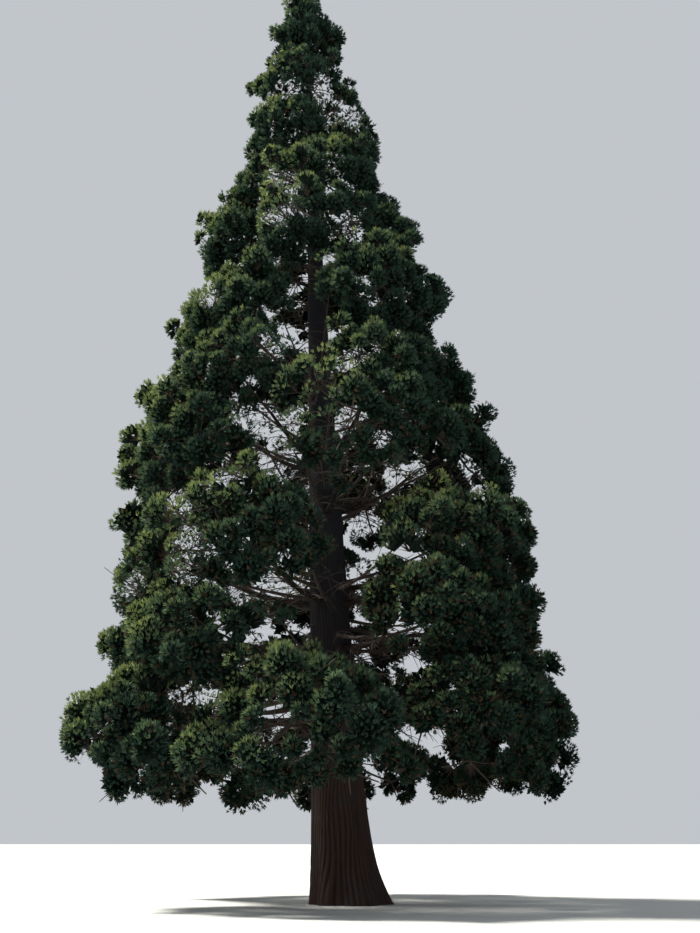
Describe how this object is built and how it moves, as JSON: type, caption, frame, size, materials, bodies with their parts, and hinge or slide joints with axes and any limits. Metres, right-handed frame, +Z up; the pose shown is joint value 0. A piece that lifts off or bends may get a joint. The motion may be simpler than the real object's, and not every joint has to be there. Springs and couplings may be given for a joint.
{
  "type": "giant sequoia tree",
  "caption": "Tall conical evergreen tree with a flared fluted trunk that leans slightly, sweeping boughs and dense billows of scale-like foliage from near the ground to a pointed tip.",
  "frame": {"origin": "middle of the flat cut under the trunk, at ground level", "axes": "+Z up along the height of the tree; the pictured front faces -Y; +X is to the right in the picture, and the trunk leans a little to -X"},
  "size_m": [13.2873, 14.3665, 27.2],
  "materials": {
    "bark": "fibrous, deeply furrowed, matt, dark red-brown in shade",
    "bough_bark": "scaly, matt, red-brown",
    "foliage": "matt blue-green scale leaves, yellower at the lit tips"
  },
  "bodies": {
    "root": {"trunk": "bark", "broad_bough_1": "bough_bark", "broad_bough_2": "bough_bark", "broad_bough_3": "bough_bark", "broad_bough_4": "bough_bark", "broad_bough_5": "bough_bark", "lower_bough_1": "bough_bark", "lower_bough_2": "bough_bark", "lower_bough_3": "bough_bark", "lower_bough_4": "bough_bark", "lower_bough_5": "bough_bark", "skirt_bough_1": "bough_bark", "skirt_bough_2": "bough_bark", "skirt_bough_3": "bough_bark", "skirt_bough_4": "bough_bark", "skirt_bough_5": "bough_bark", "skirt_bough_6": "bough_bark", "belt_mass_1": "foliage", "belt_mass_2": "foliage", "belt_mass_3": "foliage", "belt_mass_4": "foliage", "belt_mass_5": "foliage", "broad_mass_1": "foliage", "broad_mass_2": "foliage", "broad_mass_3": "foliage", "broad_mass_4": "foliage", "broad_mass_5": "foliage", "high_mass_1": "foliage", "high_mass_2": "foliage", "high_mass_3": "foliage", "leader_mass": "foliage", "lower_mass_1": "foliage", "lower_mass_2": "foliage", "lower_mass_3": "foliage", "lower_mass_4": "foliage", "lower_mass_5": "foliage", "middle_mass_1": "foliage", "middle_mass_2": "foliage", "middle_mass_3": "foliage", "middle_mass_4": "foliage", "middle_mass_5": "foliage", "narrow_mass_1": "foliage", "narrow_mass_2": "foliage", "narrow_mass_3": "foliage", "shoulder_mass_1": "foliage", "shoulder_mass_2": "foliage", "shoulder_mass_3": "foliage", "shoulder_mass_4": "foliage", "skirt_mass_1": "foliage", "skirt_mass_2": "foliage", "skirt_mass_3": "foliage", "skirt_mass_4": "foliage", "skirt_mass_5": "foliage", "skirt_mass_6": "foliage", "top_mass_1": "foliage", "top_mass_2": "foliage", "upper_mass_1": "foliage", "upper_mass_2": "foliage", "upper_mass_3": "foliage", "upper_mass_4": "foliage"}
  },
  "joints": []
}
